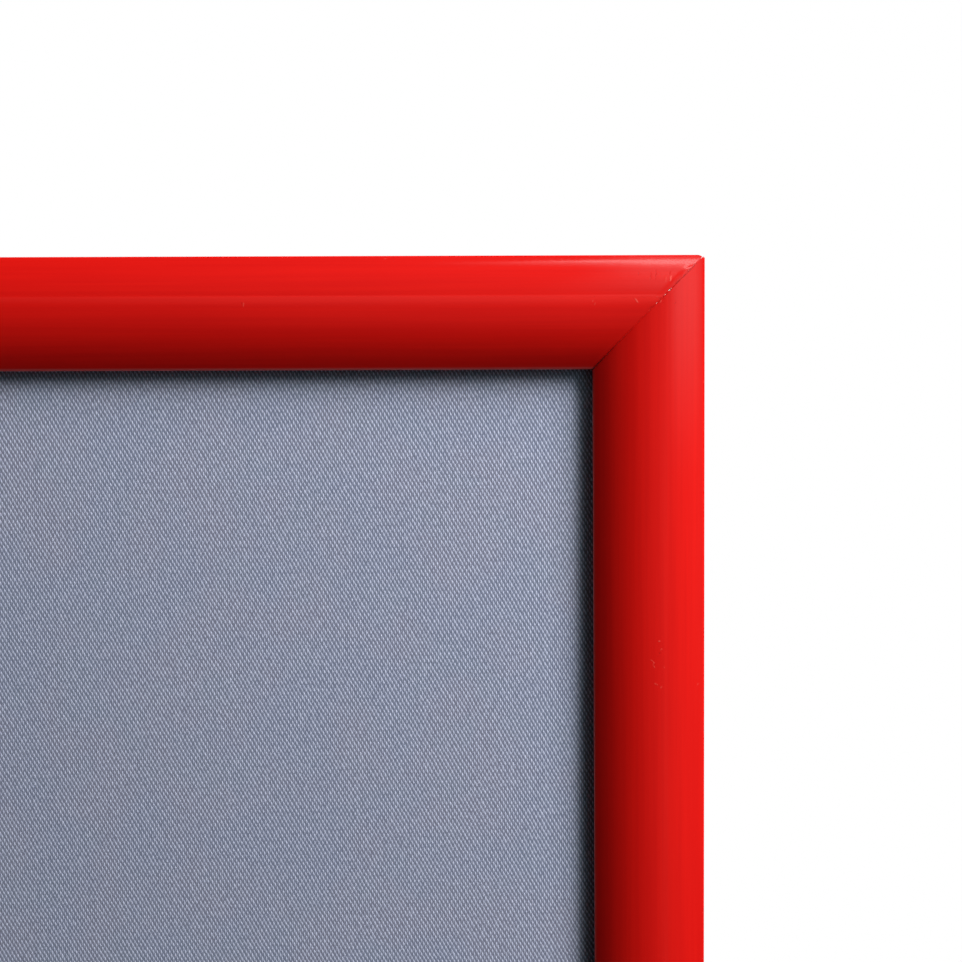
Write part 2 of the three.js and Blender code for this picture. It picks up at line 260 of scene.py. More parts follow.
class Net:
    """A small builder for one material's nodes."""

    def __init__(self, name):
        self.material = bpy.data.materials.new(name)
        self.material.use_nodes = True
        self.tree = self.material.node_tree
        self.tree.nodes.clear()
        self.out = self.tree.nodes.new("ShaderNodeOutputMaterial")

    def put(self, socket, value):
        if isinstance(value, bpy.types.NodeSocket):
            self.tree.links.new(value, socket)
        elif value is not None:
            socket.default_value = value

    def node(self, kind, _in=None, **props):
        n = self.tree.nodes.new(kind)
        for k, v in props.items():
            setattr(n, k, v)
        for k, v in (_in or {}).items():
            self.put(n.inputs[k], v)
        return n

    def math(self, op, a, b=None, c=None, clamp=False):
        n = self.node("ShaderNodeMath", {0: a, 1: b, 2: c}, operation=op, use_clamp=clamp)
        return n.outputs[0]

    def vec(self, op, a, b=None, scale=None):
        n = self.tree.nodes.new("ShaderNodeVectorMath")
        n.operation = op
        self.put(n.inputs[0], a)
        if b is not None:
            self.put(n.inputs[1], b)
        if scale is not None:
            self.put(n.inputs["Scale"], scale)
        return n.outputs["Value"] if op in ("DOT_PRODUCT", "LENGTH", "DISTANCE") else n.outputs[0]

    def at(self):
        """Object coordinates in millimetres."""
        if not hasattr(self, "_at"):
            tc = self.tree.nodes.new("ShaderNodeTexCoord")
            self._at = self.vec("SCALE", tc.outputs["Object"], scale=1000.0)
            self._xyz = self.node("ShaderNodeSeparateXYZ", {0: self._at}).outputs
        return self._at

    def xyz(self):
        self.at()
        return self._xyz

    def noise(self, scale, detail=2.0, rough=0.5, at=None, distortion=0.0, stretch=None, w=None):
        where = at if at is not None else self.at()
        if stretch:
            where = self.vec("MULTIPLY", where, stretch)
        n = self.node(
            "ShaderNodeTexNoise",
            {"Vector": where, "Scale": scale, "Detail": detail, "Roughness": rough, "Distortion": distortion},
            noise_dimensions="4D" if w is not None else "3D",
        )
        if w is not None:
            n.inputs["W"].default_value = w
        return n.outputs["Fac"]

    def ramp(self, value, lo, hi, to_lo=0.0, to_hi=1.0, smooth=True):
        n = self.node(
            "ShaderNodeMapRange",
            {"Value": value, "From Min": lo, "From Max": hi, "To Min": to_lo, "To Max": to_hi},
            interpolation_type="SMOOTHSTEP" if smooth else "LINEAR",
            clamp=True,
        )
        return n.outputs["Result"]

    def mix(self, fac, a, b):
        n = self.tree.nodes.new("ShaderNodeMix")
        n.data_type = "RGBA"
        n.clamp_factor = True
        self.put(n.inputs[0], fac)
        for i, v in ((6, a), (7, b)):
            self.put(n.inputs[i], (*v, 1.0) if isinstance(v, tuple) and len(v) == 3 else v)
        return n.outputs[2]

    def mixf(self, fac, a, b):
        n = self.tree.nodes.new("ShaderNodeMix")
        n.data_type = "FLOAT"
        self.put(n.inputs[0], fac)
        self.put(n.inputs[2], a)
        self.put(n.inputs[3], b)
        return n.outputs[0]

    def scaled(self, colour, by):
        """The colour times a value."""
        return self.vec("SCALE", colour, scale=by)

    def bump(self, height_mm, strength=1.0, normal=None):
        """A bump from a height in millimetres."""
        n = self.node(
            "ShaderNodeBump",
            {"Strength": strength, "Distance": MM, "Height": height_mm, "Normal": normal},
        )
        return n.outputs[0]

    def surface(self, shader):
        self.tree.links.new(shader, self.out.inputs["Surface"])
        return self.material

    def principled(self, **values):
        n = self.tree.nodes.new("ShaderNodeBsdfPrincipled")
        for k, v in values.items():
            name = k.replace("_", " ")
            self.put(n.inputs[name], (*v, 1.0) if isinstance(v, tuple) and len(v) == 3 else v)
        return n.outputs[0]


def sum_of(net, values):
    total = values[0]
    for v in values[1:]:
        total = net.math("ADD", total, v)
    return total


# ---- materials ---------------------------------------------------------------

RED = (0.80, 0.0085, 0.0055)
RED_DEEP = (0.765, 0.0072, 0.0051)
# bare metal, painted near white so the chips read as painted glints
BARE_METAL_GLINT = (0.98, 0.86, 0.83)

# Small marks on the faces: (x, z, length, width, angle in degrees, strength; lighter above 0, darker below).
MARKS = (
    (152.48, 221.22, 1.78, 0.29, 88, -0.50),
    (153.58, 221.55, 2.44, 0.33, 86, -0.45),
    (155.80, 220.66, 1.33, 0.27, 90, 0.50),
    (156.90, 220.77, 1.33, 0.40, 80, 0.90),
    (156.69, 221.88, 0.89, 0.27, 85, -0.60),
    (160.68, 222.31, 2.00, 0.67, 40, -0.35),
    (158.45, 220.54, 2.67, 0.78, 47, -0.30),
    (149.82, 221.79, 0.89, 0.27, 90, -0.50),
    (154.47, 216.38, 0.89, 0.33, 20, -0.50),
    (154.69, 215.72, 0.67, 0.33, 60, 0.50),
    (154.02, 216.82, 0.56, 0.27, 10, 0.40),
    (152.48, 214.42, 1.11, 0.44, 40, -0.50),
    (152.26, 213.77, 0.67, 0.29, 70, 0.50),
    (140.05, 216.65, 0.67, 0.27, 90, -0.40),
    (139.72, 215.89, 0.56, 0.29, 70, 0.60),
    (140.16, 215.23, 0.67, 0.27, 70, 0.40),
    (149.37, 215.96, 1.22, 0.31, -52, 0.80),
    (148.92, 216.18, 0.89, 0.27, -50, -0.50),
    (157.90, 215.37, 0.67, 0.27, 50, -0.50),
    (154.32, 140.02, 0.49, 0.40, 30, 0.70),
    (153.96, 140.38, 0.44, 0.31, 60, -0.60),
    (154.79, 138.18, 0.71, 0.31, 60, 0.60),
    (154.36, 137.27, 0.58, 0.31, 45, -0.70),
    (154.02, 136.63, 0.58, 0.24, 60, -0.40),
    (152.68, 135.62, 0.89, 0.27, -30, 0.50),
    (153.12, 135.17, 0.67, 0.27, -60, 0.60),
    (152.92, 134.73, 0.58, 0.22, 85, 0.50),
    (153.28, 134.79, 0.36, 0.36, 0, -0.80),
    (153.19, 134.22, 0.67, 0.27, -60, 0.50),
    (155.46, 134.21, 0.56, 0.29, 90, 0.35),
    (153.59, 130.30, 0.93, 0.33, -25, 0.50),
    (154.76, 129.64, 0.67, 0.36, 60, 0.50),
    (154.22, 129.95, 0.44, 0.27, 30, -0.40),
    (163.00, 130.22, 0.67, 0.27, 45, 0.30),
    (93.97, 225.33, 0.89, 0.22, 5, 0.50),
    (62.55, 215.30, 1.20, 0.26, 82, 0.55),
    (62.15, 215.55, 0.90, 0.26, 82, -0.50),
    # the same kind of wear on the parts further away
    (-60.0, 214.5, 1.4, 0.25, 70, 0.6),
    (-92.0, 219.0, 1.2, 0.25, 100, -0.5),
    (-152.0, 160.0, 1.2, 0.25, 60, 0.6),
    (-149.5, -70.0, 1.6, 0.24, 100, 0.6),
    (-155.0, -150.0, 1.0, 0.30, 80, -0.6),
    (153.0, -60.0, 1.4, 0.25, 75, 0.6),
    (150.5, -178.0, 1.2, 0.25, 110, -0.5),
    (60.0, -214.0, 1.4, 0.25, 85, 0.6),
    (-40.0, -219.0, 1.2, 0.25, 100, -0.5),
)

# Spots where the coat has come off at the mitre, coloured near white as painted glints: (x, z, length, width, angle).
CHIPS = (
    (156.60, 218.20, 0.47, 0.19, 40),
    (157.05, 218.60, 0.23, 0.11, 40),
    (155.71, 217.24, 0.28, 0.13, 45),
    (153.80, 215.36, 0.24, 0.11, 45),
    (-158.20, 219.75, 0.60, 0.30, 135),
    (-150.10, 211.60, 0.40, 0.22, 135),
    (156.90, -218.30, 0.55, 0.30, 135),
    (149.30, -210.85, 0.40, 0.22, 135),
    (-160.30, -221.90, 0.50, 0.26, 45),
    (-153.60, -215.00, 0.45, 0.24, 45),
)


def spots(net, marks):
    """One value from 0 to 1 for each mark: an oval of the given length and width."""
    x, _, z = net.xyz()[:3]
    out = []
    for mx, mz, length, width, angle, *_ in marks:
        a = math.radians(angle)
        dx, dz = net.math("SUBTRACT", x, mx), net.math("SUBTRACT", z, mz)
        along = net.math("ADD", net.math("MULTIPLY", dx, math.cos(a)), net.math("MULTIPLY", dz, math.sin(a)))
        across = net.math("SUBTRACT", net.math("MULTIPLY", dz, math.cos(a)), net.math("MULTIPLY", dx, math.sin(a)))
        q = net.math(
            "ADD",
            net.math("POWER", net.math("ABSOLUTE", net.math("DIVIDE", along, length / 2)), 2.0),
            net.math("POWER", net.math("ABSOLUTE", net.math("DIVIDE", across, width / 2)), 2.0),
        )
        out.append(net.ramp(q, 1.6, 0.2))
    return out


def marks_mask(net, marks):
    """(light marks, dark marks) as values from 0 to 1."""
    light, dark = [], []
    for mark, m in zip(marks, spots(net, marks)):
        (light if mark[5] > 0 else dark).append(net.math("MULTIPLY", m, abs(mark[5])))
    ragged = net.ramp(net.noise(3.0, 2.0, 0.6), 0.30, 0.60)
    return (
        net.math("MULTIPLY", sum_of(net, light), ragged, clamp=True),
        net.math("MULTIPLY", sum_of(net, dark), ragged, clamp=True),
    )


def red_coat(name, along, marks):
    """Red powder coat on extruded aluminium; along is the axis the extrusion lines run in."""
    net = Net(name)
    x, y, z = net.xyz()[:3]
    # distance to the mitre cut at the nearest corner, in millimetres
    to_x = net.math("SUBTRACT", W / 2, net.math("ABSOLUTE", x))
    to_z = net.math("SUBTRACT", H / 2, net.math("ABSOLUTE", z))
    mitre = net.math("MULTIPLY", net.math("ABSOLUTE", net.math("SUBTRACT", to_x, to_z)), 0.70711)
    # the extrusion die left a faint raised line along the face, this far in from the outer edge; the colour along it is
    # a painted highlight
    inwards = to_z if along == "x" else to_x
    # it rises at once on the outer side and dies away inwards
    start = 8.75 if along == "x" else 8.1
    line = net.math("MULTIPLY", net.ramp(inwards, start - 0.15, start + 0.35), net.ramp(inwards, net.ramp(x, -20.0, 80.0, start + 1.7, start + 2.8), start + 0.4))
    # and it is weaker away from the cut that the photo shows
    line = net.math("MULTIPLY", line, net.ramp(x, 10.0, 100.0, 0.55, 1.0))
    stretch = (0.015, 1.0, 1.0) if along == "x" else (1.0, 1.0, 0.015)
    lines = net.noise(1.1, 3.0, 0.55, stretch=stretch)
    fine_lines = net.noise(6.0, 2.0, 0.5, stretch=stretch)
    peel = net.noise(0.75, 2.0, 0.45)
    grain = net.noise(5.0, 2.0, 0.6)
    cloud = net.noise(0.035, 2.0, 0.5)
    light, dark = marks_mask(net, marks)

    tone = sum_of(
        net,
        [
            net.math("MULTIPLY", net.math("SUBTRACT", cloud, 0.5), 0.05),
            net.math("MULTIPLY", net.math("SUBTRACT", lines, 0.5), 0.045),
            # painted highlight: the face is lighter along the die line
            net.math("MULTIPLY", line, 0.09 if along == "x" else 0.01),
            net.math("MULTIPLY", net.math("SUBTRACT", grain, 0.5), 0.03),
            # painted shade: the face is a little darker along both its edges
            net.ramp(inwards, 4.5, 0.8, 0.0, -0.06),
            net.ramp(inwards, 19.5, 22.5, 0.0, -0.06),
            # painted shade: darker near the corners, toning down the light there
            net.ramp(net.math("ADD", to_x, to_z), 44.0, 12.0, 0.0, -0.08),
        ],
    )
    colour = net.scaled(net.mix(net.ramp(lines, 0.3, 0.7), RED_DEEP, RED), net.math("ADD", tone, 1.0))
    # painted highlight: a pinkish sheen mixed in along the die line
    colour = net.mix(net.math("MULTIPLY", line, 0.030 if along == "x" else 0.006), colour, (1.0, 0.36, 0.32))
    # painted highlight: a lighter pink line along the rounded inner edge, where the nose catches light
    colour = net.mix(net.ramp(inwards, 24.25, 24.75, 0.0, 0.45 if along == "x" else 0.14), colour, (0.80, 0.16, 0.16))
    colour = net.mix(net.math("MULTIPLY", light, 0.75), colour, (0.92, 0.13, 0.10))
    colour = net.mix(net.math("MULTIPLY", dark, 0.7), colour, (0.42, 0.008, 0.007))

    # the coat is chipped to bare metal here and there along the cut; the bare metal is coloured near white as a painted
    # glint
    near = net.ramp(mitre, 0.22, 0.10)
    outer = net.ramp(inwards, 13.0, 8.0)
    few = net.math("MULTIPLY", net.math("MULTIPLY", near, outer), net.ramp(net.noise(1.9, 3.0, 0.65, w=3.7), 0.69, 0.73))
    flakes = net.math("MULTIPLY", sum_of(net, spots(net, CHIPS)), net.ramp(net.noise(4.0, 2.0, 0.6, w=6.1), 0.28, 0.42))
    chips = net.math("ADD", few, flakes, clamp=True)
    rim = net.ramp(mitre, 0.40, 0.05)
    # the saw pushed the top and bottom rails' edge up a little
    burr = net.math("MULTIPLY", net.ramp(mitre, 1.7, 0.15), net.ramp(inwards, 12.5, 9.0, 0.0, 0.06 if along == "x" else 0.0))
    burr = net.math("MULTIPLY", burr, net.ramp(inwards, 1.8, 3.2))
    # painted shade: the rim of the cut is darker in dashes along the seam, most near the outer edge and least half way
    # along
    seam_shade = net.math("MULTIPLY", rim, net.ramp(net.noise(1.9, 3.0, 0.65, w=8.2), 0.42, 0.58))
    seam_shade = net.math("MULTIPLY", seam_shade, net.math("ADD", net.ramp(inwards, 10.5, 7.5, 0.22, 0.70), net.ramp(inwards, 17.0, 21.0, 0.0, 0.35)))
    seam_shade = net.math("MULTIPLY", seam_shade, net.ramp(inwards, 0.8, 2.0, 0.15, 1.0))
    colour = net.mix(seam_shade, colour, (0.38, 0.004, 0.004))
    colour = net.mix(chips, colour, BARE_METAL_GLINT)

    rough = sum_of(
        net,
        [
            net.math("MULTIPLY", peel, 0.02),
            net.math("MULTIPLY", fine_lines, 0.03),
            net.math("MULTIPLY", light, 0.2),
            net.math("MULTIPLY", chips, 0.2),
            net.math("ADD", net.math("MULTIPLY", cloud, 0.02), 0.05),
        ],
    )
    height = sum_of(
        net,
        [
            net.math("MULTIPLY", peel, 0.003),
            net.math("MULTIPLY", grain, 0.0004),
            net.math("MULTIPLY", fine_lines, 0.0003),
            net.math("MULTIPLY", lines, 0.0008),
            net.math("MULTIPLY", line, 0.016 if along == "x" else 0.003),
            net.math("MULTIPLY", net.math("SUBTRACT", light, dark), 0.02),
            net.math("MULTIPLY", chips, -0.02),
            burr,
        ],
    )
    shader = net.principled(
        Base_Color=colour,
        Metallic=net.math("MULTIPLY", chips, 0.1),
        Roughness=rough,
        IOR=1.5,
        Normal=net.bump(height),
    )
    return net.surface(shader)


def sawn_aluminium():
    """The bare end of an extrusion, cut with a fine circular saw."""
    net = Net("sawn_aluminium")
    x, y, z = net.xyz()[:3]
    arcs = net.node(
        "ShaderNodeTexWave",
        {"Vector": net.vec("ADD", net.at(), (120.0, 60.0, 0.0)), "Scale": 0.9, "Distortion": 1.2, "Detail": 2.0, "Detail Scale": 2.0},
        wave_type="RINGS",
        rings_direction="SPHERICAL",
    ).outputs["Fac"]
    grain = net.noise(4.0, 3.0, 0.6)
    colour = net.mix(net.ramp(arcs, 0.2, 0.8), (0.55, 0.56, 0.58), (0.74, 0.75, 0.77))
    colour = net.scaled(colour, net.ramp(grain, 0.2, 0.8, 0.88, 1.06, smooth=False))
    rough = net.ramp(grain, 0.2, 0.8, 0.30, 0.48, smooth=False)
    height = net.math("ADD", net.math("MULTIPLY", arcs, 0.006), net.math("MULTIPLY", grain, 0.004))
    return net.surface(net.principled(Base_Color=colour, Metallic=0.85, Roughness=rough, Normal=net.bump(height)))


def zinc_plate():
    net = Net("zinc_plate")
    spangle = net.node("ShaderNodeTexVoronoi", {"Vector": net.at(), "Scale": 0.55, "Randomness": 1.0}, feature="F1").outputs["Color"]
    value = net.vec("DOT_PRODUCT", spangle, (0.33, 0.33, 0.33))
    brush = net.noise(2.2, 3.0, 0.6, stretch=(1.0, 1.0, 0.12))
    dirt = net.noise(0.3, 3.0, 0.6)
    colour = net.mix(value, (0.56, 0.58, 0.62), (0.74, 0.75, 0.76))
    colour = net.mix(net.ramp(dirt, 0.5, 0.75, 0.0, 0.35), colour, (0.52, 0.49, 0.40))
    rough = sum_of(net, [net.math("MULTIPLY", brush, 0.22), net.math("MULTIPLY", value, 0.12), net.math("ADD", net.math("MULTIPLY", dirt, 0.1), 0.24)])
    height = net.math("ADD", net.math("MULTIPLY", brush, 0.004), net.math("MULTIPLY", dirt, 0.006))
    return net.surface(net.principled(Base_Color=colour, Metallic=0.8, Roughness=rough, Normal=net.bump(height)))


def blued_spring():
    net = Net("blued_spring_steel")
    brush = net.noise(3.0, 3.0, 0.6, stretch=(1.0, 1.0, 0.08))
    cloud = net.noise(0.25, 3.0, 0.55)
    colour = net.mix(net.ramp(cloud, 0.35, 0.68), (0.46, 0.49, 0.55), (0.62, 0.61, 0.58))
    colour = net.scaled(colour, net.ramp(brush, 0.2, 0.8, 0.86, 1.12, smooth=False))
    rough = net.ramp(brush, 0.2, 0.8, 0.34, 0.50, smooth=False)
    return net.surface(net.principled(Base_Color=colour, Metallic=0.72, Roughness=rough, Normal=net.bump(net.math("MULTIPLY", brush, 0.004))))


def black_oxide():
    net = Net("black_oxide_steel")
    grain = net.noise(3.5, 3.0, 0.6)
    wear = net.ramp(net.noise(1.2, 3.0, 0.6), 0.56, 0.72)
    colour = net.mix(wear, (0.022, 0.022, 0.025), (0.16, 0.16, 0.17))
    rough = net.ramp(grain, 0.2, 0.8, 0.32, 0.55, smooth=False)
    return net.surface(net.principled(Base_Color=colour, Metallic=0.85, Roughness=rough, Normal=net.bump(net.math("MULTIPLY", grain, 0.006))))


WEAVE_FX, WEAVE_FZ = 1.056, 0.597  # crossed ribs of the emboss, cycles per mm


def weave(net):
    """The waves that make up the panel's fine woven emboss."""
    wobble = net.noise(0.22, 2.0, 0.5)
    wobble2 = net.noise(0.9, 2.0, 0.5, w=1.3)
    x, _, z = net.xyz()[:3]
    shift = net.math("ADD", net.math("MULTIPLY", net.math("SUBTRACT", wobble, 0.5), 0.35), net.math("MULTIPLY", net.math("SUBTRACT", wobble2, 0.5), 0.12))
    px = net.math("MULTIPLY", net.math("ADD", x, shift), 2 * math.pi * WEAVE_FX)
    pz = net.math("MULTIPLY", net.math("ADD", z, shift), 2 * math.pi * WEAVE_FZ)
    one = net.math("COSINE", net.math("ADD", px, pz))
    two = net.math("COSINE", net.math("SUBTRACT", px, pz))
    # the finer waves give each thread top its slanted, pointed shape
    three = net.math("COSINE", net.math("ADD", net.math("MULTIPLY", px, 2.0), math.radians(42)))
    four = net.math("COSINE", net.math("ADD", net.math("MULTIPLY", pz, 2.0), math.radians(-39)))
    five = net.math("COSINE", net.math("ADD", net.math("MULTIPLY", net.math("ADD", px, pz), 2.0), math.radians(-72)))
    return one, two, three, four, five


def panel_grey():
    """Cool grey plastic sheet with a fine woven emboss, its thread tops painted lighter as painted highlights, and
    slightly drifting tone.
    """
    net = Net("grey_embossed_panel")
    # the ribs that lean one way stand higher than those that lean the other way
    ribs = sum_of(net, [net.math("MULTIPLY", wave, part) for wave, part in zip(weave(net), (0.58, 0.215, 0.36, 0.12, 0.15))])
    uneven = net.noise(1.0, 2.0, 0.6)
    speck = net.noise(2.6, 2.0, 0.6)
    tops = net.ramp(net.math("ADD", ribs, net.math("MULTIPLY", net.math("SUBTRACT", uneven, 0.5), 1.5)), -0.50, 1.15)
    drift = net.noise(0.05, 2.0, 0.5)
    drift2 = net.noise(0.11, 2.0, 0.5, w=5.1)
    base = net.mix(net.ramp(drift, 0.38, 0.62), (0.180, 0.201, 0.296), (0.198, 0.201, 0.284))
    base = net.mix(net.ramp(drift2, 0.45, 0.7, 0.0, 0.5), base, (0.177, 0.211, 0.293))
    # painted highlight: the thread tops are coloured far lighter than the base, standing in for light catching the
    # emboss
    lit_top_colour = net.mix(net.ramp(speck, 0.4, 0.6), (0.600, 0.630, 0.800), (0.730, 0.755, 0.930))
    colour = net.mix(tops, base, lit_top_colour)
    height = net.math("MULTIPLY", net.math("ADD", ribs, net.math("MULTIPLY", speck, 0.25)), 0.022)
    rough = net.ramp(uneven, 0.2, 0.8, 0.52, 0.68, smooth=False)
    return net.surface(net.principled(Base_Color=colour, Roughness=rough, IOR=1.45, Normal=net.bump(height)))


def clear_cover():
    """Clear plastic with a fine low-glare emboss: light passes, and only a weak soft sheen stays."""
    net = Net("clear_low_glare_sheet")
    fine = net.noise(2.2, 2.0, 0.5)
    height = net.math("MULTIPLY", fine, 0.006)
    normal = net.bump(height)
    clear = net.node("ShaderNodeBsdfTransparent", {"Color": (0.985, 0.988, 0.992, 1.0)}).outputs[0]
    gloss = net.principled(
        Base_Color=(0.90, 0.92, 0.95), Roughness=net.ramp(fine, 0.2, 0.8, 0.34, 0.46, smooth=False), IOR=1.5, Normal=normal
    )
    sheen = net.node("ShaderNodeLayerWeight", {"Blend": 0.12, "Normal": normal}).outputs["Facing"]
    amount = net.ramp(sheen, 0.0, 1.0, 0.015, 0.30, smooth=False)
    mixed = net.node("ShaderNodeMixShader", {0: amount, 1: clear, 2: gloss}).outputs[0]
    return net.surface(mixed)


horizontal_marks = [m for m in MARKS if (H / 2 - abs(m[1])) < (W / 2 - abs(m[0]))]
vertical_marks = [m for m in MARKS if m not in horizontal_marks]
RED_ALONG_X = red_coat("red_coat_along_x", "x", horizontal_marks)
RED_ALONG_Z = red_coat("red_coat_along_z", "z", vertical_marks)
RED_OF = {"top": RED_ALONG_X, "bottom": RED_ALONG_X, "left": RED_ALONG_Z, "right": RED_ALONG_Z}
SAWN = sawn_aluminium()
ZINC = zinc_plate()
SPRING = blued_spring()
OXIDE = black_oxide()
PANEL = panel_grey()
COVER = clear_cover()

# ---- rails -------------------------------------------------------------------


def front_outline():
    face_v = PROFILE_H - FACE_R
    corner_v = face_v + math.sqrt((FACE_R - CORNER_R) ** 2 - (CORNER_R - FACE_PEAK_U) ** 2)
    corner_a = math.degrees(math.atan2(corner_v - face_v, CORNER_R - FACE_PEAK_U))
    nose_u = PROFILE_W - NOSE_R
    nose_v = face_v + math.sqrt((FACE_R - NOSE_R) ** 2 - (nose_u - FACE_PEAK_U) ** 2)
    nose_a = math.degrees(math.atan2(nose_v - face_v, nose_u - FACE_PEAK_U))
    inner_r = FACE_R - WALL
    inner_from = math.degrees(math.acos((WALL - FACE_PEAK_U) / inner_r))
    inner_to = math.degrees(math.acos((PRESS_U0 - FACE_PEAK_U) / inner_r))
    socket_top = math.degrees(math.acos((WALL - HINGE_U) / SOCKET_OUTER_R))
    points = (
        arc(nose_u, nose_v, NOSE_R, -90, nose_a, 14)
        + arc(FACE_PEAK_U, face_v, FACE_R, nose_a, corner_a, 56)[1:]
        + arc(CORNER_R, corner_v, CORNER_R, corner_a, 180, 12)[1:]
        + [(0.0, SKIRT_V)]
        + arc(HINGE_U, HINGE_V, SOCKET_OUTER_R, SOCKET_TO, SOCKET_TO, 1)[1:]
        + arc(HINGE_U, HINGE_V, SOCKET_R, SOCKET_TO, SOCKET_FROM, 40)
        + arc(HINGE_U, HINGE_V, CATCH_R, SOCKET_FROM, CATCH_TO, 1)
        + arc(HINGE_U, HINGE_V, SOCKET_OUTER_R, CATCH_TO, socket_top, 40)
        + arc(FACE_PEAK_U, face_v, inner_r, inner_from, inner_to, 36)
        + [
            (PRESS_U0, PRESS_V),
            (PRESS_U1, PRESS_V),
            (PRESS_U1, nose_v - NOSE_R),
        ]
    )
    return soften(tidy(points), 0.16)


def base_outline():
    neck0 = HINGE_U + BEAD_R * math.cos(math.radians(NECK_FROM))
    neck1 = HINGE_U + BEAD_R * math.cos(math.radians(NECK_TO))
    points = (
        [
            (FLOOR_U0, 0), (FLOOR_U1, 0), (FLOOR_U1, FLOOR_T),
            (STOP_U1, FLOOR_T), (STOP_U1, STOP_V), (STOP_U0 - STOP_LIP, STOP_V),
            (STOP_U0 - STOP_LIP, STOP_LIP_V), (STOP_U0, STOP_LIP_V), (STOP_U0, FLOOR_T),
            (CHANNEL_U1 + HOOK_T, FLOOR_T), (CHANNEL_U1 + HOOK_T, HOOK_TOP_V),
            (CHANNEL_U1 - HOOK_LIP, HOOK_TOP_V), (CHANNEL_U1 - HOOK_LIP, HOOK_UNDER_V),
            (CHANNEL_U1, HOOK_UNDER_V), (CHANNEL_U1, FLOOR_T),
            (CHANNEL_U0, FLOOR_T), (CHANNEL_U0, HOOK_UNDER_V),
            (CHANNEL_U0 + HOOK_LIP, HOOK_UNDER_V), (CHANNEL_U0 + HOOK_LIP, HOOK_TOP_V),
            (CHANNEL_U0 - HOOK_T, HOOK_TOP_V), (CHANNEL_U0 - HOOK_T, FLOOR_T),
            (neck0, FLOOR_T),
        ]
        + arc(HINGE_U, HINGE_V, BEAD_R, NECK_FROM, NECK_TO, 48)
        + [(neck1, FLOOR_T), (FLOOR_U0, FLOOR_T)]
    )
    return soften(tidy(points), 0.14)


def socket_relief(u, v):
    if v >= HINGE_V or u > HINGE_U + 6:
        return 0.0
    return max(0.0, math.hypot(u - HINGE_U, v - HINGE_V) - (u - HINGE_U))


def front_end(side, u, v):
    """How far a front rail's end stands back from the perfect mitre, along the rail. The seam is tight as far as
    the face's inner part and opens there towards the inner corner; the sharp outer tips are filed off."""
    half = 0.0035
    if u < 11:
        half += 0.003 + 0.003 * math.sin(u * 6.1 + 0.5) + 0.002 * math.sin(u * 14.7)
    elif u > 16:
        half += 0.075 * ((u - 16) / 9) ** 1.5
    back = half * math.sqrt(2)
    tip, reach = (1.45, 0.55) if side in ("top", "bottom") else (0.70, 0.45)
    if u < reach:
        back += tip * (1 - max(0.0, u) / reach) ** 1.5
    return back + socket_relief(u, v)


def base_end(side, u, v):
    return 0.04 * math.sqrt(2)


def rail(name, side, outline, end, materials, bevel=0.012):
    """A mitred rail with a tiny rounded edge round each sawn end."""
    half = rail_length(side) / 2
    rings = []
    steps = 3
    for k in range(steps + 1):
        a = math.pi / 2 * k / steps
        ring = shrink(outline, bevel * (1 - math.sin(a))) if k < steps else outline
        back = bevel * (1 - math.cos(a))
        rings.append([(u, v, half - u - end(side, u, v) - back) for u, v in ring])
    # one more ring just behind the rounded edge keeps its shading off the long faces
    rings.append([(u, v, half - u - end(side, u, v) - bevel - 0.25) for u, v in outline])
    verts = []
    for ring in rings:
        verts += [place(side, u, v, -s) for u, v, s in ring]
    for ring in reversed(rings):
        verts += [place(side, u, v, s) for u, v, s in ring]
    faces, cap = swept([rings[0]] * (2 * len(rings)))
    obj = new_piece(name, verts, faces, materials, cap, sharp=40.0)
    return obj


def drill(side, s, radius, v0, v1, chamfer=0.0):
    """A round cutter along v, standing in a rail's frame."""
    n = 48
    profile = [(0.0, v0), (radius, v0), (radius, v1), (0.0, v1)]
    if chamfer:
        profile = [(0.0, v0), (radius + chamfer + 0.3, v0), (radius + chamfer, 0.0), (radius, chamfer), (radius, v1), (0.0, v1)]
    rings = []
    verts, faces = [], []
    for r, v in profile[1:-1]:
        rings.append(len(verts))
        for i in range(n):
            a = 2 * math.pi * i / n
            verts.append(place(side, HOLE_U + r * math.cos(a), v, s + r * math.sin(a)))
    for k in range(len(rings) - 1):
        for i in range(n):
            j = (i + 1) % n
            faces.append((rings[k] + i, rings[k] + j, rings[k + 1] + j, rings[k + 1] + i))
    faces.append(tuple(range(n)))
    faces.append(tuple(rings[-1] + i for i in range(n)))
    return new_piece("cutter", verts, faces, [SAWN])


front_points, base_points = front_outline(), base_outline()

for side in SIDES:
    obj = rail(f"front_rail_{side}_skin", side, front_points, front_end, [RED_OF[side], SAWN])
    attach(obj, f"{side}_rail")
    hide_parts(f"front_rail_{side}")

    obj = rail(f"base_rail_{side}_skin", side, base_points, base_end, [RED_OF[side], SAWN])
    cutters = []
    for end in (-1, 1):
        s = end * (rail_length(side) / 2 - HOLE_FROM_END[side])
        cutters.append(drill(side, s, HOLE_R, -1.0, FLOOR_T + 1.0, chamfer=0.15))
        cutters.append(drill(side, s, HOLE_HEAD_R, FLOOR_T + 0.004, HOOK_TOP_V + 1.0))
    boolean_cut(obj, cutters)
    finish_mesh(obj.data, 40.0)
    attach(obj, "frame_base")
    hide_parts(f"base_rail_{side}")

# ---- leaf springs ------------------------------------------------------------


def spring_points():
    """(centre u, centre v, radius, first angle, last angle) of the bow, from the hinge end to the seat."""
    (u0, v0), (u1, v1) = SPRING_HINGE_END, SPRING_SEAT_END
    half = math.hypot(u1 - u0, v1 - v0) / 2
    a = math.radians(SPRING_HALF_ANGLE)
    r = half / math.sin(a)
    tilt = math.atan2(v1 - v0, u1 - u0)
    cu = (u0 + u1) / 2 + r * math.cos(a) * math.sin(tilt)
    cv = (v0 + v1) / 2 - r * math.cos(a) * math.cos(tilt)
    return cu, cv, r, math.pi / 2 + tilt + a, math.pi / 2 + tilt - a


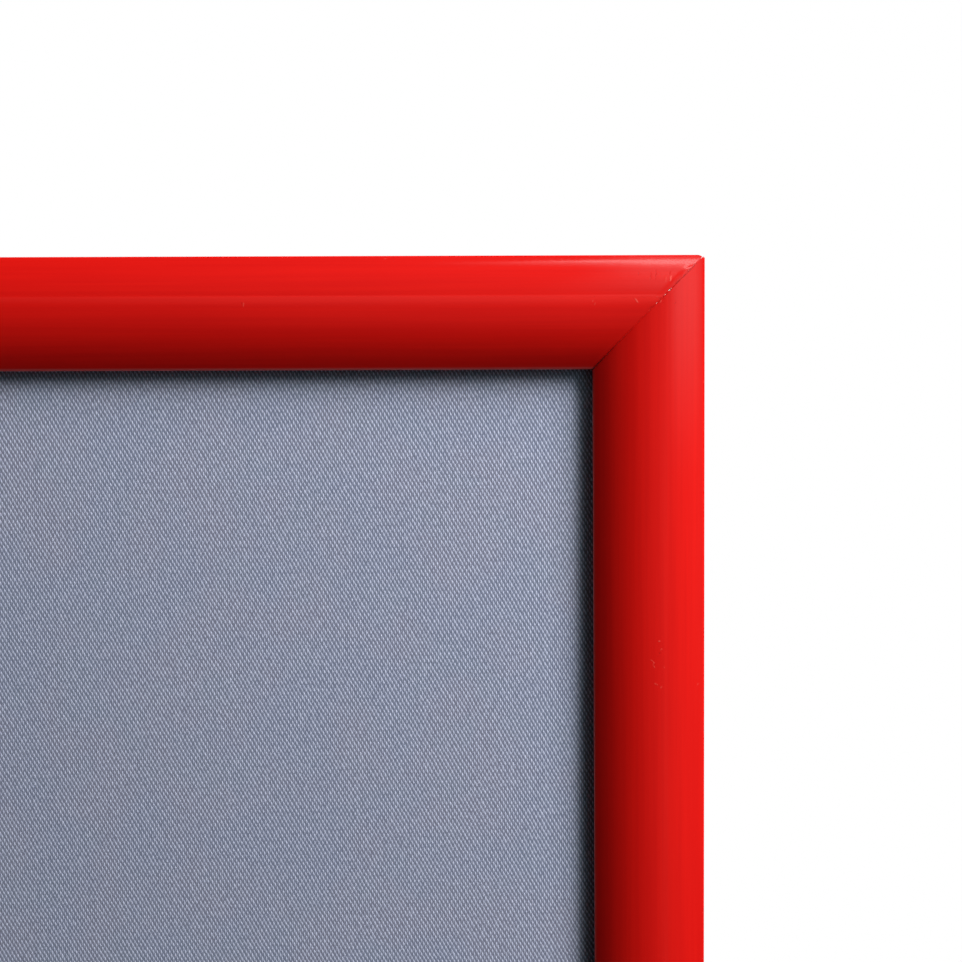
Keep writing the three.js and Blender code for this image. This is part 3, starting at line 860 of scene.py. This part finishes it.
def leaf_spring(name, side, s0):
    """A bowed strip with rounded corners, pressed edges and a shallow stiffening groove along its middle."""
    cu, cv, r, a0, a1 = spring_points()
    nl, nw = 44, 20
    corner = 1.6
    long = r * abs(a1 - a0)
    verts, index = [], {}
    for layer in (0, 1):
        for i in range(nl + 1):
            t = i / nl
            d = min(t, 1 - t) * long  # to the nearer end
            inset = 0.0
            if d < corner:
                inset = corner - math.sqrt(max(0.0, corner**2 - (corner - d) ** 2))
            w = SPRING_W / 2 - inset
            a = a0 + (a1 - a0) * t
            for j in range(nw + 1):
                q = -1 + 2 * j / nw
                across = q * w
                edge = min(1.0, (1 - abs(q)) * w / 0.18)
                thick = SPRING_T / 2 * (0.55 + 0.45 * math.sqrt(max(0.0, 1 - (1 - edge) ** 2)))
                groove = -0.16 * math.exp(-((across / 1.3) ** 2)) * min(1.0, max(0.0, (d - 1.2) / 2.0))
                rr = r + groove + (thick if layer else -thick)
                index[layer, i, j] = len(verts)
                verts.append(place(side, cu + rr * math.cos(a), cv + rr * math.sin(a), s0 + across))
    faces = []
    for layer in (0, 1):
        for i in range(nl):
            for j in range(nw):
                faces.append((index[layer, i, j], index[layer, i + 1, j], index[layer, i + 1, j + 1], index[layer, i, j + 1]))
    for i in range(nl):
        for j in (0, nw):
            faces.append((index[0, i, j], index[0, i + 1, j], index[1, i + 1, j], index[1, i, j]))
    for j in range(nw):
        for i in (0, nl):
            faces.append((index[0, i, j], index[0, i, j + 1], index[1, i, j + 1], index[1, i, j]))
    return new_piece(name, verts, faces, [SPRING], sharp=50.0)


SPRING_ENDS = {"top": (("right", -1), ("left", 1)), "bottom": (("left", -1), ("right", 1)), "left": (("upper", -1), ("lower", 1)), "right": (("lower", -1), ("upper", 1))}
for side in SIDES:
    for end, sign in SPRING_ENDS[side]:
        s0 = sign * (rail_length(side) / 2 - SPRING_FROM_END)
        obj = leaf_spring(f"leaf_spring_{side}_{end}_strip", side, s0)
        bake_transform(obj)
        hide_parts(f"leaf_spring_{side}_{end}")

# ---- corner keys and set screws ------------------------------------------------

CORNERS = {"top_right": (1, 1), "top_left": (-1, 1), "bottom_left": (-1, -1), "bottom_right": (1, -1)}


def in_corner(cx, cz, a, b, v):
    """a and b are the distances in from the frame's vertical and horizontal outer edges."""
    return (cx * (W / 2 - a) * MM, -v * MM, cz * (H / 2 - b) * MM)


def corner_key(name, cx, cz):
    a, b, c, ch = KEY_U0, KEY_U1, KEY_U0 + KEY_LEG, 1.2
    outline = soften(
        [(a + ch, a), (c - ch, a), (c, a + ch), (c, b - ch), (c - ch, b), (b, b), (b, c - ch), (b - ch, c), (a + ch, c), (a, c - ch), (a, a + ch)],
        0.5,
        steps=4,
    )
    edge = 0.14
    rings = [(shrink(outline, edge + 0.15), 0.0)]
    for k in range(4):
        t = math.pi / 2 * k / 3
        rings.append((shrink(outline, edge * (1 - math.sin(t))), edge * (1 - math.cos(t))))
    verts = []
    for ring, up in rings:
        verts += [in_corner(cx, cz, p, q, KEY_V0 + up) for p, q in ring]
    for ring, up in reversed(rings):
        verts += [in_corner(cx, cz, p, q, KEY_V1 - up) for p, q in ring]
    faces, cap = swept([outline] * len(rings) * 2)
    obj = new_piece(name, verts, faces, [ZINC], sharp=40.0)
    cutters = []
    for p, q in ((KEY_SCREW_AT, HOLE_U), (HOLE_U, KEY_SCREW_AT)):
        n, cv, cf = 40, [], []
        for r, v in ((KEY_HOLE_R, KEY_V0 - 1), (KEY_HOLE_R, KEY_V1 - 0.12), (KEY_HOLE_R + 0.16, KEY_V1 + 0.04), (KEY_HOLE_R + 0.16, KEY_V1 + 1)):
            for i in range(n):
                t = 2 * math.pi * i / n
                cv.append(in_corner(cx, cz, p + r * math.cos(t), q + r * math.sin(t), v))
        for k in range(3):
            for i in range(n):
                j = (i + 1) % n
                cf.append((k * n + i, k * n + j, (k + 1) * n + j, (k + 1) * n + i))
        cf += [tuple(range(n)), tuple(range(3 * n, 4 * n))]
        cutters.append(new_piece("cutter", cv, cf, [ZINC]))
    boolean_cut(obj, cutters)
    finish_mesh(obj.data, 40.0)
    return obj


def set_screw(name, cx, cz, p, q):
    """A headless screw: threaded flank, chamfers, a hexagon socket with a cone at its bottom."""
    n = 48
    profile = [(SCREW_R - 0.22, SCREW_V0), (SCREW_R - 0.12, SCREW_V0 + 0.12)]
    pitch, v = 0.4, SCREW_V0 + 0.2
    while v + pitch < SCREW_V1 - 0.15:
        profile += [(SCREW_R - 0.14, v), (SCREW_R, v + pitch * 0.45), (SCREW_R, v + pitch * 0.55)]
        v += pitch
    profile += [(SCREW_R - 0.14, v), (SCREW_R - 0.12, SCREW_V1 - 0.12), (SCREW_R - 0.2, SCREW_V1 - 0.02), (SCREW_R - 0.26, SCREW_V1)]
    hexr = SCREW_HEX / math.sqrt(3)

    def hex_at(i, r):
        t = 2 * math.pi * i / n
        k = (t % (math.pi / 3)) - math.pi / 6
        return r * math.cos(math.pi / 6) / math.cos(k)

    verts, rings = [], []
    for r, v in profile:
        rings.append(len(verts))
        for i in range(n):
            t = 2 * math.pi * i / n
            verts.append(in_corner(cx, cz, p + r * math.cos(t), q + r * math.sin(t), v))
    for grow, v in ((0.05, SCREW_V1), (0.0, SCREW_V1 - 0.06), (0.0, SCREW_V1 - SCREW_HEX_DEPTH)):
        rings.append(len(verts))
        for i in range(n):
            t = 2 * math.pi * i / n
            r = hex_at(i, hexr + grow)
            verts.append(in_corner(cx, cz, p + r * math.cos(t), q + r * math.sin(t), v))
    tip = len(verts)
    verts.append(in_corner(cx, cz, p, q, SCREW_V1 - SCREW_HEX_DEPTH - 0.25))
    faces = [tuple(range(n))]
    for k in range(len(rings) - 1):
        for i in range(n):
            j = (i + 1) % n
            faces.append((rings[k] + i, rings[k] + j, rings[k + 1] + j, rings[k + 1] + i))
    for i in range(n):
        faces.append((rings[-1] + i, rings[-1] + (i + 1) % n, tip))
    return new_piece(name, verts, faces, [OXIDE], sharp=32.0)


for corner, (cx, cz) in CORNERS.items():
    obj = corner_key(f"corner_key_{corner}_plate", cx, cz)
    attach(obj, "frame_base")
    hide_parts(f"corner_key_{corner}")
    vertical, horizontal = corner.split("_")
    for rail_name, p, q in ((vertical, KEY_SCREW_AT, HOLE_U), (horizontal, HOLE_U, KEY_SCREW_AT)):
        node = f"key_screw_{corner}_on_{rail_name}_rail"
        obj = set_screw(f"{node}_fine", cx, cz, p, q)
        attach(obj, "frame_base")
        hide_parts(node)

# ---- sheets --------------------------------------------------------------------


def sheet(name, v0, v1, material, edge):
    """A flat sheet with round corners and softened edges."""
    w, h, r = SHEET_W / 2 - SHEET_CORNER_R, SHEET_H / 2 - SHEET_CORNER_R, SHEET_CORNER_R
    outline = arc(w, h, r, 0, 90, 8) + arc(-w, h, r, 90, 180, 8) + arc(-w, -h, r, 180, 270, 8) + arc(w, -h, r, 270, 360, 8)
    outline = tidy(outline)
    rings = [(shrink(outline, edge + 0.4), 0.0)]
    for k in range(4):
        t = math.pi / 2 * k / 3
        rings.append((shrink(outline, edge * (1 - math.sin(t))), edge * (1 - math.cos(t))))
    verts = []
    for ring, up in rings:
        verts += [(x * MM, -(v0 + up) * MM, z * MM) for x, z in ring]
    for ring, up in reversed(rings):
        verts += [(x * MM, -(v1 - up) * MM, z * MM) for x, z in ring]
    faces, cap = swept([outline] * len(rings) * 2)
    return new_piece(name, verts, faces, [material], sharp=40.0)


obj = sheet("back_panel_board", PANEL_V0, PANEL_V1, PANEL, 0.12)
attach(obj, "frame_base")
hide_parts("back_panel")
obj = sheet("cover_sheet_clear", COVER_V0, COVER_V1, COVER, 0.08)
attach(obj, "frame_base")
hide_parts("cover_sheet")

# ---- floor, light and world ------------------------------------------------------


def make_floor():
    z = -0.236
    net = Net("pale_floor")
    x, y, _ = net.xyz()[:3]
    far = net.vec("LENGTH", net.node("ShaderNodeCombineXYZ", {0: x, 1: y, 2: 0.0}).outputs[0])
    grain = net.noise(0.02, 3.0, 0.5)
    body = net.principled(Base_Color=net.mix(grain, (0.80, 0.80, 0.80), (0.84, 0.84, 0.835)), Roughness=0.65)
    glow = net.node("ShaderNodeEmission", {"Color": (1.0, 1.0, 1.0, 1.0), "Strength": 1.0}).outputs[0]
    mixed = net.node("ShaderNodeMixShader", {0: net.ramp(far, 200.0, 520.0, 0.30, 1.0), 1: body, 2: glow}).outputs[0]
    material = net.surface(mixed)
    n, verts, faces = 64, [(0.0, 0.0, z)], []
    for i in range(n):
        a = 2 * math.pi * i / n
        verts.append((0.54 * math.cos(a), 0.54 * math.sin(a), z))
    for i in range(n):
        faces.append((0, 1 + i, 1 + (i + 1) % n))
    floor = new_piece("floor", verts, faces, [material])
    floor.visible_glossy = False
    floor.visible_diffuse = False


def area_light(name, at, towards, width, height, power, colour=(1, 1, 1), roll=0.0):
    data = bpy.data.lights.new(name, "AREA")
    data.shape = "RECTANGLE"
    data.size, data.size_y = width, height
    data.energy = power
    data.color = colour
    obj = bpy.data.objects.new(name, data)
    bpy.context.scene.collection.objects.link(obj)
    way = (Vector(towards) - Vector(at)).normalized()
    obj.visible_camera = False
    obj.matrix_world = Matrix.Translation(Vector(at)) @ way.to_track_quat("-Z", "Y").to_matrix().to_4x4()
    return obj


KEY_ROLL = 13.9


def gloss_card():
    """An area light whose brightness is painted by place: it gives the corner its gloss band and haze."""
    width, height = 2.00, 2.20
    card = area_light("gloss_card", (0.0, -1.10, 0.30), (0.0, 0.0, 0.30), width, height, 1.0)
    card.visible_diffuse = False
    # one watt spread over the card, as radiance
    unit = 1.0 / (math.pi * width * height)
    data = card.data
    data.use_nodes = True
    nt = data.node_tree
    nt.nodes.clear()
    out = nt.nodes.new("ShaderNodeOutputLight")
    glow = nt.nodes.new("ShaderNodeEmission")
    nt.links.new(glow.outputs[0], out.inputs[0])
    place_of = nt.nodes.new("ShaderNodeNewGeometry").outputs["Position"]
    xyz = nt.nodes.new("ShaderNodeSeparateXYZ")
    nt.links.new(place_of, xyz.inputs[0])

    def ramp(axis, lo, hi):
        n = nt.nodes.new("ShaderNodeMapRange")
        n.interpolation_type = "SMOOTHSTEP"
        n.inputs["From Min"].default_value, n.inputs["From Max"].default_value = lo, hi
        nt.links.new(xyz.outputs[axis] if isinstance(axis, str) else axis, n.inputs["Value"])
        return n.outputs["Result"]

    def maths(op, a, b):
        n = nt.nodes.new("ShaderNodeMath")
        n.operation = op
        for i, v in enumerate((a, b)):
            if isinstance(v, float):
                n.inputs[i].default_value = v
            else:
                nt.links.new(v, n.inputs[i])
        return n.outputs[0]

    def product(*values):
        total = values[0]
        for v in values[1:]:
            total = maths("MULTIPLY", total, v)
        return total

    # the dim glow starts softly low down and more sharply higher up; the bright band's low edge leans
    def along_z(lo, hi, to_lo, to_hi):
        n = nt.nodes.new("ShaderNodeMapRange")
        for k, v in (("From Min", lo), ("From Max", hi), ("To Min", to_lo), ("To Max", to_hi)):
            n.inputs[k].default_value = v
        nt.links.new(xyz.outputs["Z"], n.inputs["Value"])
        return n.outputs["Result"]

    start = along_z(0.27, 0.585, 0.05, 0.12)
    wide = along_z(0.27, 0.585, 0.31, 0.09)
    haze_x = ramp(maths("DIVIDE", maths("SUBTRACT", xyz.outputs["X"], start), wide), 0.0, 1.0)
    haze = product(haze_x, ramp("Z", 0.10, 0.38), ramp("X", 0.90, 0.56), ramp("Z", 1.30, 0.90))
    inner_x = maths("MAXIMUM", maths("MINIMUM", xyz.outputs["X"], 0.21), 0.0)
    low_edge = maths("ADD", xyz.outputs["Z"], maths("MULTIPLY", maths("MULTIPLY", inner_x, inner_x), 2.1))
    high_edge = maths("SUBTRACT", xyz.outputs["Z"], maths("MULTIPLY", inner_x, 0.24))
    # the low edge falls off fast at first and then trails away
    low = maths("ADD", maths("MULTIPLY", ramp(low_edge, 0.806, 0.864), 0.78), maths("MULTIPLY", ramp(low_edge, 0.715, 0.820), 0.22))
    band = product(ramp("X", -0.06, 0.09), low, ramp("X", 0.40, 0.25), ramp(high_edge, 0.8176, 0.7856))
    # brighter where it is narrow
    band = maths("MULTIPLY", band, maths("ADD", maths("MULTIPLY", ramp("X", 0.19, 0.08), 0.45), 1.0))
    glow_right = product(ramp("X", -0.70, 0.35), ramp("Z", -0.75, -0.05), maths("ADD", 0.5, maths("MULTIPLY", ramp("Z", -0.10, 0.50), 0.5)))
    total = maths("MULTIPLY", haze, 0.85)
    total = maths("ADD", total, maths("MULTIPLY", band, 4.05))
    total = maths("ADD", total, maths("MULTIPLY", glow_right, 0.19))
    nt.links.new(maths("MULTIPLY", total, 1.0 / unit), glow.inputs["Strength"])
    return card


def make_light():
    corner = Vector((0.135, -0.005, 0.20))
    # key: a tall softbox to the upper right
    az, el = math.radians(52.9), math.radians(36.1)
    d = Vector((math.sin(az) * math.cos(el), -math.cos(az) * math.cos(el), math.sin(el)))
    at = corner + d * 1.05
    key = area_light("key_softbox", at, at - d + Vector((0.06, 0.0, -0.05)), 0.395, 0.886, 24.9)
    key.matrix_world = key.matrix_world @ Matrix.Rotation(math.radians(KEY_ROLL), 4, "Z")
    # a card in front that only shows as gloss: a bright low edge on the upper right and a dim glow round it
    gloss_card()
    # a weak light from the right opens the shadows without showing as gloss
    fill = area_light("front_fill", (0.709, -0.819, 0.20), (0.135, 0.0, 0.20), 0.5, 0.5, 0.56, colour=(0.66, 1.0, 1.0))
    fill.visible_glossy = False
    # a weaker one from the upper left reaches into the shadow along the right rail
    left_fill = area_light("left_fill", (-0.62, -0.82, 0.55), (0.135, 0.0, 0.20), 0.5, 0.5, 0.16, colour=(0.12, 1.0, 1.0))
    left_fill.visible_glossy = False
    # two lights for the back that don't show as gloss either, so no flat strip or grazing edge mirrors them
    for back in (
        area_light("back_left", (-0.35, 1.45, 0.90), (0, 0, 0), 0.9, 0.9, 20.0),
        area_light("back_right", (1.00, 1.20, 1.15), (0, 0, 0), 0.7, 0.7, 12.0),
    ):
        back.visible_glossy = False

    world = bpy.data.worlds.new("studio")
    bpy.context.scene.world = world
    world.use_nodes = True
    nt = world.node_tree
    nt.nodes.clear()
    out = nt.nodes.new("ShaderNodeOutputWorld")
    seen = nt.nodes.new("ShaderNodeBackground")
    seen.inputs[0].default_value = (1, 1, 1, 1)
    seen.inputs[1].default_value = 1.0
    lit = nt.nodes.new("ShaderNodeBackground")
    lit.inputs[0].default_value = (0.95, 0.97, 1.0, 1)
    lit.inputs[1].default_value = 0.012
    path = nt.nodes.new("ShaderNodeLightPath")
    mix = nt.nodes.new("ShaderNodeMixShader")
    nt.links.new(path.outputs["Is Camera Ray"], mix.inputs[0])
    nt.links.new(lit.outputs[0], mix.inputs[1])
    nt.links.new(seen.outputs[0], mix.inputs[2])
    nt.links.new(mix.outputs[0], out.inputs[0])

    view = bpy.context.scene.view_settings
    view.view_transform = "Standard"
    view.look = "None"
    view.exposure = 0.0
    view.gamma = 1.0


make_floor()
make_light()
